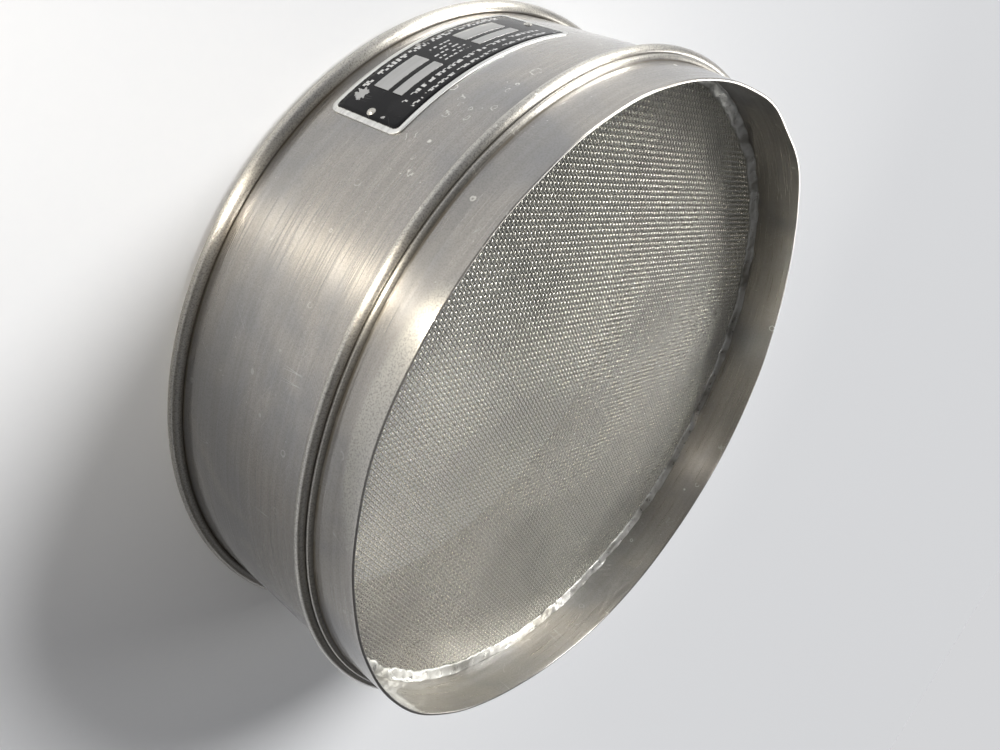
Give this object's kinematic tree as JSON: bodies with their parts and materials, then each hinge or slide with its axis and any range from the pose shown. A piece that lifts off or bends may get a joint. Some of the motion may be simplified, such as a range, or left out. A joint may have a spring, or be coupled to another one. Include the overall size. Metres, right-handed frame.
{
  "type": "test sieve",
  "caption": "Round laboratory test sieve with a rolled rim, bead and nesting skirt, fine woven wire cloth soldered in, and a curved nameplate.",
  "frame": {"origin": "on the axis, in the plane that the rolled rim stands on", "axes": "+Z along the axis from the rolled rim to the skirt, -Y towards the nameplate"},
  "size_m": [0.2112, 0.2112, 0.0714],
  "materials": {
    "frame_steel": "brushed round the axis, semi-bright",
    "skirt_steel": "brushed round the axis, semi-bright",
    "wire_steel": "bright drawn wire",
    "solder": "dull grey solder",
    "pin_steel": "worn bright steel",
    "plate": "black field with bare metal border and panels"
  },
  "bodies": {
    "root": {"frame_body": "frame_steel", "skirt": "skirt_steel", "wire_cloth": "wire_steel", "solder_ring": "solder", "nameplate": "plate", "rivet_left": "pin_steel", "rivet_right": "pin_steel"}
  },
  "joints": []
}
